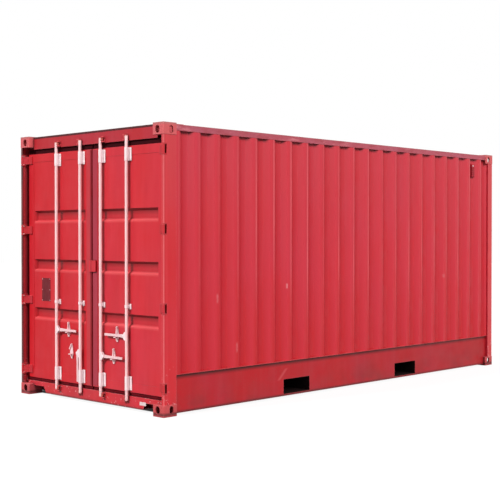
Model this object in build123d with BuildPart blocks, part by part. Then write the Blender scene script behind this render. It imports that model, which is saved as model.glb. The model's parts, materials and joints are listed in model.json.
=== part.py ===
from build123d import *
import os

os.makedirs("parts", exist_ok=True)

# Overall size in mm. X runs along the length with the doors at -X, Y across, Z up from the ground.
LENGTH = 6058.0
WIDTH = 2438.0
HEIGHT = 2896.0
HX = LENGTH / 2
HY = WIDTH / 2
FX = -HX

# Corner castings
CAST_X = 178.0
CAST_Y = 162.0
CAST_Z = 118.0
CAST_FACE = 28.0
CAST_WALL = 16.0
CAST_BACK = 10.0
SLOT_LONG = 124.0
SLOT_WIDE = 63.5
OVAL_TALL = 79.5
OVAL_SIDE = 51.0
OVAL_END = 63.5
SLOT_FROM_END = 102.5
SLOT_FROM_SIDE = 89.5
OVAL_Z = CAST_FACE + OVAL_TALL / 2

# Faces of the frame, measured inwards from the outer envelope
FRAME_SIDE_IN = 5.0
FRAME_END_IN = 6.0
RAIL_SIDE_IN = 6.0
CREST_IN = 9.0
POST_T = 6.0
POST_BACK = 172.0
POST_LIP = 30.0
JAMB_Y = HY - 48.0
JAMB_T = 10.0
JAMB_FRONT = 92.0
REAR_POST_X = 112.0
REAR_POST_Y = HY - 109.0

# Door end, depths behind the front plane
HEAD_FACE = 66.0
HEAD_BACK = 178.0
HEAD_Z1 = HEIGHT - 6.0
HEAD_Z0 = HEAD_Z1 - 137.0
SILL_Z0 = 30.0
SILL_Z1 = 150.0
SILL_BACK = 190.0
NOTCH_WIDE = 187.0
NOTCH_Z = 100.0
DOOR_FACE = 75.0
DOOR_T = 50.0
STOP_IN = DOOR_FACE + DOOR_T + 12.0
STOP_T = 6.0
DOOR_OUT = JAMB_Y - 14.0
DOOR_IN = 11.0
DOOR_Z0 = SILL_Z1 + 38.0
DOOR_Z1 = HEAD_Z0 - 54.0
DOOR_TALL = DOOR_Z1 - DOOR_Z0
STILE = 90.0
TUBE_T = 4.0
SHEET = 2.0
PANEL_IN = 3.0
GROOVE_Z = tuple(DOOR_Z0 + part * DOOR_TALL for part in (0.291, 0.506, 0.722))
GROOVE_TALL = 126.0
GROOVE_DEEP = 30.0
GROOVE_Y0 = DOOR_IN + STILE + 23.0
GROOVE_Y1 = DOOR_OUT - STILE - 13.0

# Hinges
HINGE_IN = 14.0
HINGE_LOW = DOOR_Z0 + 92.0
HINGE_STEP = (DOOR_Z1 - 65.0 - HINGE_LOW) / 3
HINGE_Z = tuple(HINGE_LOW + n * HINGE_STEP for n in range(4))
KNUCKLE_R = 13.0
PIN_R = 7.0
PIN_CLEAR = 0.6
BLADE_TALL = 85.0
BLADE_T = 10.0
BLADE_END = 115.0
LUG_GAP = 3.0
LUG_T = 12.0
HINGE_CUT_X = 48.0

# Lock rods, far enough apart for a handle to lie between them
HANDLE_LONG = 355.0
ROD_INNER = 175.0
ROD_OUTER = ROD_INNER + HANDLE_LONG + 70.0
ROD_Y = (ROD_OUTER, ROD_INNER, -ROD_INNER, -ROD_OUTER)
ROD_IN = 45.0
ROD_R = 16.0
ROD_CLEAR = 0.8
ROD_Z0 = SILL_Z1 - 53.0
ROD_Z1 = HEAD_Z0 + 54.0
FIT = 0.2
GUIDE_R = 20.0
GUIDE_T = 6.0
GUIDE_HALF = 50.0
GUIDE_MID_HALF = 42.0
GUIDE_MID_TALL = 54.0
GUIDE_LOW = (DOOR_Z0 + 19.0, DOOR_Z0 + 161.0)
GUIDE_HIGH = (DOOR_Z1 - 152.0, DOOR_Z1 - 17.0)
GUIDE_MID = DOOR_Z0 + 0.348 * DOOR_TALL
CAM_LONG = 38.0
CAM_TALL = 24.0
CAM_T = 14.0
KEEP_GAP = 6.0
KEEP_T = 12.0

# Handles and their catches, one per rod. The inner handles sit high enough for one to hang down free.
HANDLE_LOW = HANDLE_LONG + 170.0
HANDLE_HIGH = HANDLE_LOW + 232.0
HANDLE_Z = (HANDLE_HIGH, HANDLE_LOW, HANDLE_LOW, HANDLE_HIGH)
HANDLE_TO = (-1.0, 1.0, -1.0, 1.0)
PIVOT_OFF = 46.0
HANDLE_T = 10.0
HANDLE_TALL = 25.0
HANDLE_ROOT = 40.0
HANDLE_TAPER = 110.0
HUB_TALL = 86.0
HUB_NOSE = 17.0
CLEVIS_T = 6.0
CLEVIS_GAP = 2.0
HOLDER_UP = 90.0
HOLDER_DOWN = 70.0
HOLDER_HALF = 26.0
CATCH_OFF = HANDLE_LONG / 2 + 7.5
CATCH_UP = HOLDER_UP - 12.0
CATCH_CLEAR = 5.5
CATCH_LONG = CATCH_UP - HANDLE_TALL / 2 - CATCH_CLEAR
CATCH_T = 5.0
CATCH_IN = 60.0
CATCH_ANGLES = (0.0, 35.0, 0.0, 0.0)

# Walls and roof
WALL_Z0 = 410.0
RAIL_TOP_Z0 = HEIGHT - 74.0
RAIL_TOP_TALL = 60.0
RAIL_TOP_WIDE = 60.0
RIB_PITCH = 277.7
RIB_SLOPE = 68.0
RIB_FLOOR = 70.0
RIB_DEEP = 36.0
RAIL_X0 = FX + POST_BACK
RAIL_X1 = HX - REAR_POST_X
RIB_FIRST = RAIL_X0 + 46.0 + RIB_SLOPE + RIB_FLOOR / 2
RIB_COUNT = int((RAIL_X1 - RIB_FIRST - RIB_FLOOR / 2) / RIB_PITCH) + 1
ROOF_PITCH = 305.0
ROOF_RIB = 124.0
ROOF_DEEP = 18.0
ROOF_EDGE = 150.0
ROOF_SIDE_IN = 23.0
ROOF_RIB_IN = 97.0

# Base
BASE_Z0 = 20.0
BASE_T = 4.5
WEB_IN = 36.0
FLANGE_IN = 57.0
FOOT_IN = 77.0
POCKET_X = 1025.0
POCKET_WIDE = 430.0
POCKET_TALL = 155.0
POCKET_Z0 = 45.0
POCKET_T = 4.0
FLOOR_Z0 = POCKET_Z0 + POCKET_TALL + POCKET_T
FLOOR_T = 28.0
FLOOR_Y = JAMB_Y - 11.0
MEMBER_STEP = 320.0
MEMBER_OUT = POCKET_X + POCKET_WIDE / 2 + 180.0
MEMBER_OUT_STEP = 300.0
MEMBER_END = HX - 400.0


def rect(x0, x1, y0, y1):
    # A rectangle between two x and two y values of the current sketch plane
    with Locations(((x0 + x1) / 2, (y0 + y1) / 2)):
        Rectangle(abs(x1 - x0), abs(y1 - y0))


def block(x0, x1, y0, y1, z0, z1, mode=Mode.ADD):
    # A box between two values on each axis
    with Locations(((x0 + x1) / 2, (y0 + y1) / 2, (z0 + z1) / 2)):
        Box(abs(x1 - x0), abs(y1 - y0), abs(z1 - z0), mode=mode)


def save(piece, label):
    # Name the piece and write it to its own file
    piece.part.label = label
    export_step(piece.part, "parts/" + label + ".step")


# Corner castings: hollow blocks with an aperture in each outer face
for name, top in (("corner_castings_bottom", 0), ("corner_castings_top", 1)):
    with BuildPart() as castings:
        for sx in (-1, 1):
            for sy in (-1, 1):
                z0 = HEIGHT - CAST_Z if top else 0.0
                z1 = z0 + CAST_Z
                with BuildSketch(Plane.XY.offset(z0)):
                    with Locations((sx * (HX - CAST_X / 2), sy * (HY - CAST_Y / 2))):
                        RectangleRounded(CAST_X, CAST_Y, 8.0)
                extrude(amount=CAST_Z)
                c0 = z0 + (CAST_BACK if top else CAST_FACE)
                c1 = z1 - (CAST_FACE if top else CAST_BACK)
                block(
                    sx * (HX - CAST_WALL), sx * (HX - CAST_X + CAST_BACK),
                    sy * (HY - CAST_WALL), sy * (HY - CAST_Y + CAST_BACK),
                    c0, c1, Mode.SUBTRACT,
                )
                face_z = c1 if top else z0
                with BuildSketch(Plane.XY.offset(face_z)):
                    with Locations((sx * (HX - SLOT_FROM_END), sy * (HY - SLOT_FROM_SIDE))):
                        SlotOverall(SLOT_LONG, SLOT_WIDE)
                extrude(amount=CAST_FACE, mode=Mode.SUBTRACT)
                oval_z = HEIGHT - OVAL_Z if top else OVAL_Z
                with Locations(Location((sx * (HX - SLOT_FROM_END), sy * (HY - CAST_WALL / 2), oval_z))):
                    Box(OVAL_SIDE, CAST_WALL, OVAL_TALL - OVAL_SIDE, mode=Mode.SUBTRACT)
                for dz in (-1, 1):
                    spot = (
                        sx * (HX - SLOT_FROM_END),
                        sy * (HY - CAST_WALL / 2),
                        oval_z + dz * (OVAL_TALL - OVAL_SIDE) / 2,
                    )
                    with Locations(Location(spot)):
                        Cylinder(OVAL_SIDE / 2, CAST_WALL, rotation=(90, 0, 0), mode=Mode.SUBTRACT)
                with Locations(Location((sx * (HX - CAST_WALL / 2), sy * (HY - SLOT_FROM_SIDE), oval_z))):
                    Box(CAST_WALL, OVAL_END, OVAL_TALL - OVAL_END, mode=Mode.SUBTRACT)
                for dz in (-1, 1):
                    spot = (
                        sx * (HX - CAST_WALL / 2),
                        sy * (HY - SLOT_FROM_SIDE),
                        oval_z + dz * (OVAL_TALL - OVAL_END) / 2,
                    )
                    with Locations(Location(spot)):
                        Cylinder(OVAL_END / 2, CAST_WALL, rotation=(0, 90, 0), mode=Mode.SUBTRACT)
    save(castings, name)

# Door posts: an outer skin with a front lip, and a box behind it that forms the door jamb
POST_Y = HY - FRAME_SIDE_IN
LUG_Z = BLADE_TALL / 2 + LUG_GAP
CUT_Z = LUG_Z + LUG_T
with BuildPart() as posts:
    for s in (1, -1):
        with BuildSketch(Plane.XY.offset(CAST_Z)):
            rect(FX + FRAME_END_IN, FX + FRAME_END_IN + POST_T, s * (POST_Y - POST_LIP), s * POST_Y)
            rect(FX + FRAME_END_IN, FX + POST_BACK, s * (POST_Y - POST_T), s * POST_Y)
            rect(FX + JAMB_FRONT, FX + JAMB_FRONT + JAMB_T, s * JAMB_Y, s * POST_Y)
            rect(FX + JAMB_FRONT, FX + POST_BACK, s * JAMB_Y, s * (JAMB_Y + JAMB_T))
            rect(FX + POST_BACK - POST_T, FX + POST_BACK, s * JAMB_Y, s * POST_Y)
        extrude(amount=HEIGHT - 2 * CAST_Z)
        for z in HINGE_Z:
            block(
                FX, FX + HINGE_CUT_X, s * (POST_Y - POST_LIP - 2), s * HY,
                z - CUT_Z, z + CUT_Z, Mode.SUBTRACT,
            )
save(posts, "door_posts")

# Hinge lugs: an upper and a lower lug in each notch of the post, joined by the pin
PIN_X = FX + HINGE_IN
PIN_Y = HY - HINGE_IN
with BuildPart() as lugs:
    for s in (1, -1):
        for z in HINGE_Z:
            for dz in (-1, 1):
                low = z + LUG_Z if dz > 0 else z - LUG_Z - LUG_T
                with BuildSketch(Plane.XY.offset(low)):
                    with Locations((PIN_X, s * PIN_Y)):
                        Circle(KNUCKLE_R)
                    rect(PIN_X, FX + HINGE_CUT_X, s * (POST_Y - POST_LIP), s * (PIN_Y + KNUCKLE_R))
                    rect(PIN_X - 8, PIN_X, s * (POST_Y - POST_LIP), s * PIN_Y)
                extrude(amount=LUG_T)
            with Locations((PIN_X, s * PIN_Y, z)):
                Cylinder(PIN_R, 2 * (LUG_Z + LUG_T))
save(lugs, "hinge_lugs")

# Rear posts: closed angle sections
with BuildPart() as posts:
    for s in (1, -1):
        x1 = HX - FRAME_END_IN
        x0 = HX - REAR_POST_X
        with BuildSketch(Plane.XY.offset(CAST_Z)):
            rect(x0, x1, s * (POST_Y - POST_T), s * POST_Y)
            rect(x1 - POST_T, x1, s * REAR_POST_Y, s * POST_Y)
            rect(x0, x0 + POST_T, s * (JAMB_Y - 6), s * POST_Y)
            rect(x0, x1 - 44, s * (JAMB_Y - 6), s * JAMB_Y)
            rect(x1 - 50, x1 - 44, s * REAR_POST_Y, s * JAMB_Y)
            rect(x1 - 50, x1, s * REAR_POST_Y, s * (REAR_POST_Y + POST_T))
        extrude(amount=HEIGHT - 2 * CAST_Z)
save(posts, "rear_posts")

# Door header: a hollow beam between the top castings with a stop lip behind the doors
with BuildPart() as header:
    y1 = HY - CAST_Y
    block(FX + HEAD_FACE, FX + HEAD_BACK, -y1, y1, HEAD_Z0, HEAD_Z1)
    block(FX + HEAD_FACE + 5, FX + HEAD_BACK - 5, -y1, y1, HEAD_Z0 + 5, HEAD_Z1 - 5, Mode.SUBTRACT)
    block(FX + STOP_IN, FX + STOP_IN + STOP_T, -JAMB_Y, JAMB_Y, DOOR_Z1 - 26, HEAD_Z0)
    block(FX + STOP_IN, FX + POST_BACK, -JAMB_Y, JAMB_Y, HEAD_Z0 - 5, HEAD_Z0)
save(header, "door_header")

# Door sill: a hollow beam with an open notch beside each bottom casting
with BuildPart() as sill:
    y1 = HY - CAST_Y
    block(FX + HEAD_FACE, FX + SILL_BACK, -y1, y1, SILL_Z0, SILL_Z1)
    block(FX + HEAD_FACE + 6, FX + SILL_BACK - 6, -y1, y1, SILL_Z0 + 6, SILL_Z1 - 6, Mode.SUBTRACT)
    for s in (-1, 1):
        block(FX + HEAD_FACE, FX + POST_BACK, s * y1, s * JAMB_Y, CAST_Z, SILL_Z1)
        block(
            FX + HEAD_FACE - 1, FX + SILL_BACK - 6, s * (y1 - NOTCH_WIDE), s * y1,
            0, NOTCH_Z, Mode.SUBTRACT,
        )
        with BuildSketch(Plane.YZ.offset(FX + HEAD_FACE - 1)):
            with BuildLine():
                a = (s * (y1 - NOTCH_WIDE + 1), NOTCH_Z)
                b = (s * (y1 - NOTCH_WIDE + 1), SILL_Z0 - 1)
                c = (s * (y1 - NOTCH_WIDE - 45), SILL_Z0 - 1)
                Polyline(a, b, c, close=True)
            make_face()
        extrude(amount=SILL_BACK - HEAD_FACE - 5, mode=Mode.SUBTRACT)
save(sill, "door_sill")

# Threshold: an angle that closes the step between the sill and the floor
with BuildPart() as threshold:
    top = FLOOR_Z0 + FLOOR_T + 4
    block(FX + STOP_IN, FX + STOP_IN + STOP_T, -JAMB_Y, JAMB_Y, SILL_Z1, top)
    block(FX + STOP_IN, FX + SILL_BACK, -JAMB_Y, JAMB_Y, FLOOR_Z0 + FLOOR_T, top)
save(threshold, "floor_threshold")

# Keepers: a pair of open ledges on the header and on the sill for the cam of each lock rod
with BuildPart() as keepers:
    for rod_y, to in zip(ROD_Y, HANDLE_TO):
        for cam_z in (ROD_Z0 + 6 + CAM_TALL / 2, ROD_Z1 - 6 - CAM_TALL / 2):
            a = rod_y + to * (ROD_R + 7)
            b = rod_y + to * (CAM_LONG + 14.0)
            half = CAM_TALL / 2 + KEEP_GAP
            block(FX + HEAD_FACE - 5, FX + HEAD_FACE, a, b, cam_z - half - KEEP_T, cam_z + half + KEEP_T)
            for dz in (-1, 1):
                z0 = cam_z + dz * half
                block(FX + 38, FX + HEAD_FACE - 5, a, b, z0, z0 + dz * KEEP_T)
save(keepers, "lock_keepers")

# Top side rails: square tubes between the top castings
with BuildPart() as rails:
    for s in (-1, 1):
        y1 = HY - RAIL_SIDE_IN
        x1 = HX - CAST_X
        block(-x1, x1, s * (y1 - RAIL_TOP_WIDE), s * y1, RAIL_TOP_Z0, RAIL_TOP_Z0 + RAIL_TOP_TALL)
        block(
            -x1, x1, s * (y1 - RAIL_TOP_WIDE + 4), s * (y1 - 4),
            RAIL_TOP_Z0 + 4, RAIL_TOP_Z0 + RAIL_TOP_TALL - 4, Mode.SUBTRACT,
        )
save(rails, "top_side_rails")

# Bottom side rails: tall channels with the fork pockets cut through the web
WEB_Y = HY - WEB_IN
with BuildPart() as rail:
    for s in (1, -1):
        block(RAIL_X0, RAIL_X1, s * (WEB_Y - BASE_T), s * WEB_Y, BASE_Z0, WALL_Z0)
        block(
            RAIL_X0, RAIL_X1, s * (HY - FLANGE_IN), s * (HY - RAIL_SIDE_IN),
            WALL_Z0 - BASE_T, WALL_Z0,
        )
        block(RAIL_X0, RAIL_X1, s * (HY - FOOT_IN), s * WEB_Y, BASE_Z0, BASE_Z0 + BASE_T)
        block(HX - CAST_X, RAIL_X1 + 1, s * (HY - CAST_Y), s * HY, 0, CAST_Z, Mode.SUBTRACT)
        block(RAIL_X0 - 1, FX + CAST_X, s * (HY - CAST_Y), s * HY, 0, CAST_Z, Mode.SUBTRACT)
        for px in (-POCKET_X, POCKET_X):
            half = POCKET_WIDE / 2 + POCKET_T
            block(
                px - half, px + half, s * (WEB_Y - BASE_T - 1), s * HY,
                POCKET_Z0 - POCKET_T, POCKET_Z0 + POCKET_TALL + POCKET_T, Mode.SUBTRACT,
            )
save(rail, "bottom_side_rails")

# Fork pockets: rectangular tunnels right across the base
with BuildPart() as pockets:
    for px in (-POCKET_X, POCKET_X):
        half = POCKET_WIDE / 2
        block(
            px - half - POCKET_T, px + half + POCKET_T, -WEB_Y, WEB_Y,
            POCKET_Z0 - POCKET_T, POCKET_Z0 + POCKET_TALL + POCKET_T,
        )
        block(
            px - half, px + half, -WEB_Y, WEB_Y,
            POCKET_Z0, POCKET_Z0 + POCKET_TALL, Mode.SUBTRACT,
        )
save(pockets, "fork_pockets")

# Cross members: channels between the bottom side rails
INNER = int((POCKET_X - POCKET_WIDE / 2 - POCKET_T - 60) / MEMBER_STEP)
OUTER = int((MEMBER_END - MEMBER_OUT) / MEMBER_OUT_STEP) + 1
MEMBER_X = [n * MEMBER_STEP for n in range(-INNER, INNER + 1)]
for n in range(OUTER):
    MEMBER_X.append(MEMBER_OUT + n * MEMBER_OUT_STEP)
    MEMBER_X.append(-MEMBER_OUT - n * MEMBER_OUT_STEP)
with BuildPart() as members:
    y1 = WEB_Y - BASE_T
    low = POCKET_Z0 - 1
    for x in sorted(MEMBER_X):
        block(x - 2, x + 2, -y1, y1, low, FLOOR_Z0)
        block(x, x + 43, -y1, y1, FLOOR_Z0 - 4, FLOOR_Z0)
        block(x, x + 43, -y1, y1, low, low + 4)
save(members, "cross_members")

# Floor boards: sheets of plywood on the cross members
BOARD_COUNT = 5
BOARD_X0 = FX + SILL_BACK + 2
BOARD_X1 = HX - 62
BOARD_GAP = 3.0
BOARD_LONG = (BOARD_X1 - BOARD_X0 - BOARD_GAP * (BOARD_COUNT - 1)) / BOARD_COUNT
with BuildPart() as boards:
    for n in range(BOARD_COUNT):
        x0 = BOARD_X0 + n * (BOARD_LONG + BOARD_GAP)
        block(x0, x0 + BOARD_LONG, -FLOOR_Y, FLOOR_Y, FLOOR_Z0, FLOOR_Z0 + FLOOR_T)
save(boards, "floor_boards")


def rib_line(first, count, pitch, slope, floor, start, end, base, deep, side):
    # The folded line of a ribbed sheet: along the wall, and across it. The last rib may run into the post.
    line = [(start, base)]
    for n in range(count):
        mid = first + n * pitch
        line.append((mid - floor / 2 - slope, base))
        line.append((mid - floor / 2, base - side * deep))
        line.append((mid + floor / 2, base - side * deep))
        rest = end - mid - floor / 2
        if rest < slope:
            line.append((end, base - side * deep * (1 - rest / slope)))
        else:
            line.append((mid + floor / 2 + slope, base))
    if line[-1][1] == base:
        line.append((end, base))
    clean = [line[0]]
    for p in line[1:]:
        if abs(p[0] - clean[-1][0]) > 0.01 or abs(p[1] - clean[-1][1]) > 0.01:
            clean.append(p)
    return clean


# Side walls: pressed sheets with upright ribs
CREST_Y = HY - CREST_IN
with BuildPart() as walls:
    for s in (1, -1):
        outer = rib_line(
            RIB_FIRST, RIB_COUNT, RIB_PITCH, RIB_SLOPE, RIB_FLOOR,
            RAIL_X0, RAIL_X1, s * CREST_Y, RIB_DEEP, s,
        )
        inner = [(x, y - s * SHEET) for x, y in reversed(outer)]
        with BuildSketch(Plane.XY.offset(WALL_Z0)):
            with BuildLine():
                Polyline(*(outer + inner), close=True)
            make_face()
        extrude(amount=RAIL_TOP_Z0 - WALL_Z0)
        for sx in (-1, 1):
            block(
                sx * (HX - CAST_X), sx * HX, s * (HY - CAST_Y), s * HY,
                HEIGHT - CAST_Z, HEIGHT, Mode.SUBTRACT,
            )
save(walls, "side_walls")

# End wall: a pressed sheet with deeper ribs between the rear posts
END_CREST = HX - 11.0
END_DEEP = 45.0
END_PITCH = 240.0
END_SLOPE = 18.0
END_FLOOR = 104.0
END_ROOM = 2 * REAR_POST_Y - END_FLOOR - 2 * END_SLOPE - 20.0
END_COUNT = int(END_ROOM / END_PITCH) + 1
END_FIRST = -END_PITCH * (END_COUNT - 1) / 2
outer = rib_line(
    END_FIRST, END_COUNT, END_PITCH, END_SLOPE, END_FLOOR,
    -REAR_POST_Y, REAR_POST_Y, END_CREST, END_DEEP, 1,
)
inner = [(y, x - SHEET) for y, x in reversed(outer)]
with BuildPart() as end_wall:
    with BuildSketch(Plane.XY.offset(SILL_Z1)):
        with BuildLine():
            Polyline(*[(x, y) for y, x in outer + inner], close=True)
        make_face()
    extrude(amount=RAIL_TOP_Z0 - SILL_Z1)
    for sy in (-1, 1):
        block(
            HX - CAST_X, HX, sy * (HY - CAST_Y), sy * HY,
            HEIGHT - CAST_Z, HEIGHT, Mode.SUBTRACT,
        )
save(end_wall, "end_wall")

# End rails: hollow beams above and below the end wall
with BuildPart() as end_rails:
    y1 = HY - CAST_Y
    for z0, z1 in ((SILL_Z0, SILL_Z1), (RAIL_TOP_Z0, HEAD_Z1 - 6)):
        block(HX - 70, HX - 8, -y1, y1, z0, z1)
        block(HX - 66, HX - 12, -y1, y1, z0 + 4, z1 - 4, Mode.SUBTRACT)
    block(HX - 60, HX - 9, -REAR_POST_Y, REAR_POST_Y, CAST_Z, SILL_Z1)
    block(HX - 56, HX - 13, -REAR_POST_Y, REAR_POST_Y, CAST_Z + 4, SILL_Z1 - 4, Mode.SUBTRACT)
save(end_rails, "end_rails")

# Roof: one sheet with shallow ribs pressed across it
ROOF_Z = RAIL_TOP_Z0 + RAIL_TOP_TALL
ROOF_X = HX - CAST_X
ROOF_Y = HY - ROOF_SIDE_IN
ROOF_RIBS = int((2 * ROOF_X - 2 * ROOF_EDGE - ROOF_RIB) / ROOF_PITCH) + 1
ROOF_RIB_LONG = 2 * (HY - ROOF_RIB_IN)
with BuildPart() as roof:
    block(FX + HEAD_BACK, HX - 70, CAST_Y - HY, HY - CAST_Y, ROOF_Z, ROOF_Z + SHEET)
    block(-ROOF_X, ROOF_X, -ROOF_Y, ROOF_Y, ROOF_Z, ROOF_Z + SHEET)
    with BuildSketch(Plane.XY.offset(ROOF_Z)):
        with GridLocations(ROOF_PITCH, 1, ROOF_RIBS, 1):
            Rectangle(ROOF_RIB, ROOF_RIB_LONG)
    extrude(amount=-ROOF_DEEP, taper=20.0)
    with BuildSketch(Plane.XY.offset(ROOF_Z + SHEET)):
        with GridLocations(ROOF_PITCH, 1, ROOF_RIBS, 1):
            Rectangle(ROOF_RIB - 3, ROOF_RIB_LONG - 3)
    extrude(amount=-ROOF_DEEP, taper=20.0, mode=Mode.SUBTRACT)
save(roof, "roof_panel")

# Roof corner plates: flat plates beside each top casting
with BuildPart() as plates:
    for sx in (-1, 1):
        for sy in (-1, 1):
            block(
                sx * (ROOF_X - 110), sx * ROOF_X, sy * (ROOF_Y - 146), sy * ROOF_Y,
                ROOF_Z + SHEET, ROOF_Z + SHEET + 4,
            )
save(plates, "roof_corner_plates")

# Vents: small covers in the last rib but one of each side wall
VENT_X = RIB_FIRST + (RIB_COUNT - 2) * RIB_PITCH
VENT_Z1 = RAIL_TOP_Z0 - 70.0
VENT_TALL = 175.0
VENT_WIDE = RIB_FLOOR - 4.0
VENT_DEEP = 22.0
with BuildPart() as vents:
    for s in (-1, 1):
        y0 = CREST_Y - RIB_DEEP
        block(
            VENT_X - VENT_WIDE / 2, VENT_X + VENT_WIDE / 2, s * y0, s * (y0 + VENT_DEEP),
            VENT_Z1 - VENT_TALL, VENT_Z1,
        )
save(vents, "vent_covers")

# Doors: a tube frame, a pressed panel, a gasket and the fixed fittings of each leaf
SEAM_HALF_GAP = 3.5
SEAM_LEFT = 52.0
SEAM_RIGHT = 78.0
SEAM_Z0 = DOOR_Z0 + 0.484 * DOOR_TALL
SEAM_TALL = 118.0
FACE_X = FX + DOOR_FACE
BACK_X = FACE_X + DOOR_T
for side, s in (("left", 1), ("right", -1)):
    with BuildPart() as frame:
        block(FACE_X, BACK_X, s * DOOR_IN, s * DOOR_OUT, DOOR_Z0, DOOR_Z1)
        block(
            FACE_X, BACK_X, s * (DOOR_IN + STILE), s * (DOOR_OUT - STILE),
            DOOR_Z0 + STILE, DOOR_Z1 - STILE, Mode.SUBTRACT,
        )
        for y0, y1 in ((DOOR_IN, DOOR_IN + STILE), (DOOR_OUT - STILE, DOOR_OUT)):
            block(
                FACE_X + TUBE_T, BACK_X - TUBE_T, s * (y0 + TUBE_T), s * (y1 - TUBE_T),
                DOOR_Z0 + TUBE_T, DOOR_Z1 - TUBE_T, Mode.SUBTRACT,
            )
        for z0, z1 in ((DOOR_Z0, DOOR_Z0 + STILE), (DOOR_Z1 - STILE, DOOR_Z1)):
            block(
                FACE_X + TUBE_T, BACK_X - TUBE_T, s * (DOOR_IN + STILE), s * (DOOR_OUT - STILE),
                z0 + TUBE_T, z1 - TUBE_T, Mode.SUBTRACT,
            )
    save(frame, "door_" + side + "_frame")

    with BuildPart() as panel:
        x0 = FACE_X + PANEL_IN
        block(
            x0, x0 + SHEET, s * (DOOR_IN + STILE), s * (DOOR_OUT - STILE),
            DOOR_Z0 + STILE, DOOR_Z1 - STILE,
        )
        mid_y = s * (GROOVE_Y0 + GROOVE_Y1) / 2
        wide = GROOVE_Y1 - GROOVE_Y0
        with BuildSketch(Plane.YZ.offset(x0 + SHEET)):
            with Locations(*[(mid_y, z) for z in GROOVE_Z]):
                Rectangle(wide + 1.6, GROOVE_TALL + 1.6)
        extrude(amount=GROOVE_DEEP, taper=40.0)
        with BuildSketch(Plane.YZ.offset(x0)):
            with Locations(*[(mid_y, z) for z in GROOVE_Z]):
                Rectangle(wide, GROOVE_TALL)
        extrude(amount=GROOVE_DEEP, taper=40.0, mode=Mode.SUBTRACT)
    save(panel, "door_" + side + "_panel")

    with BuildPart() as gasket:
        gx0 = FACE_X + 12
        gx1 = FACE_X + 32
        block(gx0, gx1, s * DOOR_IN, s * (JAMB_Y - 6), DOOR_Z1, HEAD_Z0 - 6)
        block(gx0, gx1, s * DOOR_IN, s * (JAMB_Y - 6), SILL_Z1 + 6, DOOR_Z0)
        block(gx0, gx1, s * DOOR_OUT, s * (JAMB_Y - 6), SILL_Z1 + 6, HEAD_Z0 - 6)
    save(gasket, "door_" + side + "_gasket")

    with BuildPart() as hinges:
        for z in HINGE_Z:
            with BuildSketch(Plane.XY.offset(z - BLADE_TALL / 2)):
                with Locations((PIN_X, s * PIN_Y)):
                    Circle(KNUCKLE_R)
                with BuildLine():
                    nx = 0.687 * BLADE_T / 2
                    ny = 0.7266 * BLADE_T / 2
                    ex = PIN_X + 55
                    ey = PIN_Y - 52
                    Polyline(
                        (PIN_X + nx, s * (PIN_Y + ny)), (PIN_X - nx, s * (PIN_Y - ny)),
                        (ex - nx, s * (ey - ny)), (ex + nx, s * (ey + ny)), close=True,
                    )
                make_face()
                rect(FACE_X - 12, FACE_X, s * (PIN_Y - 44), s * (PIN_Y - BLADE_END))
                with Locations((PIN_X, s * PIN_Y)):
                    Circle(PIN_R + PIN_CLEAR, mode=Mode.SUBTRACT)
            extrude(amount=BLADE_TALL)
    save(hinges, "door_" + side + "_hinges")

    rods = (0, 1) if s > 0 else (2, 3)
    with BuildPart() as guides:
        for n in rods:
            y = ROD_Y[n]
            for z0, z1 in (GUIDE_LOW, GUIDE_HIGH, (GUIDE_MID - 15, GUIDE_MID + 15)):
                with BuildSketch(Plane.XY.offset(z0)):
                    with Locations((FX + ROD_IN, y)):
                        Circle(GUIDE_R)
                    rect(FX + ROD_IN, FACE_X - GUIDE_T, y - GUIDE_R, y + GUIDE_R)
                extrude(amount=z1 - z0)
            for z0, z1 in (GUIDE_LOW, GUIDE_HIGH):
                block(FACE_X - GUIDE_T, FACE_X, y - GUIDE_HALF, y + GUIDE_HALF, z0, z1)
            block(
                FACE_X - GUIDE_T, FACE_X + PANEL_IN, y - GUIDE_MID_HALF, y + GUIDE_MID_HALF,
                GUIDE_MID - GUIDE_MID_TALL / 2, GUIDE_MID + GUIDE_MID_TALL / 2,
            )
            with Locations((FX + ROD_IN, y, (ROD_Z0 + ROD_Z1) / 2)):
                Cylinder(ROD_R + ROD_CLEAR, ROD_Z1 - ROD_Z0, mode=Mode.SUBTRACT)
    save(guides, "door_" + side + "_rod_guides")

    with BuildPart() as holders:
        for n in rods:
            y = ROD_Y[n] + HANDLE_TO[n] * CATCH_OFF
            z = HANDLE_Z[n]
            with BuildSketch(Plane.YZ.offset(FACE_X - 6)):
                with BuildLine():
                    top = z + HOLDER_UP
                    low = z - HOLDER_DOWN
                    half = HOLDER_HALF
                    Polyline(
                        (y - 9, top), (y + 9, top), (y + half, z + 14), (y + half, z - 24),
                        (y + 10, low), (y - 10, low), (y - half, z - 24), (y - half, z + 14), close=True,
                    )
                make_face()
            extrude(amount=6 + PANEL_IN)
            ledge = z - HANDLE_TALL / 2 - 5
            block(FX + 34, FACE_X - 6, y - 14, y + 14, ledge - 8, ledge)
            pin = DOOR_FACE - 6 - CATCH_IN + 3
            with Locations((FX + CATCH_IN - 3 + pin / 2, y, z + CATCH_UP)):
                Cylinder(4.0, pin, rotation=(0, 90, 0))
    save(holders, "door_" + side + "_holders")

    seam_out = SEAM_LEFT if s > 0 else SEAM_RIGHT
    with BuildPart() as tab:
        block(FACE_X - 20, FACE_X, s * SEAM_HALF_GAP, s * seam_out, SEAM_Z0, SEAM_Z0 + SEAM_TALL)
    save(tab, "door_" + side + "_seam_block")

# Lock rods: plain tubes
for n in range(4):
    with BuildPart() as rod:
        with Locations((FX + ROD_IN, ROD_Y[n], (ROD_Z0 + ROD_Z1) / 2)):
            Cylinder(ROD_R, ROD_Z1 - ROD_Z0)
    save(rod, "lock_rod_" + str(n + 1))

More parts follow.
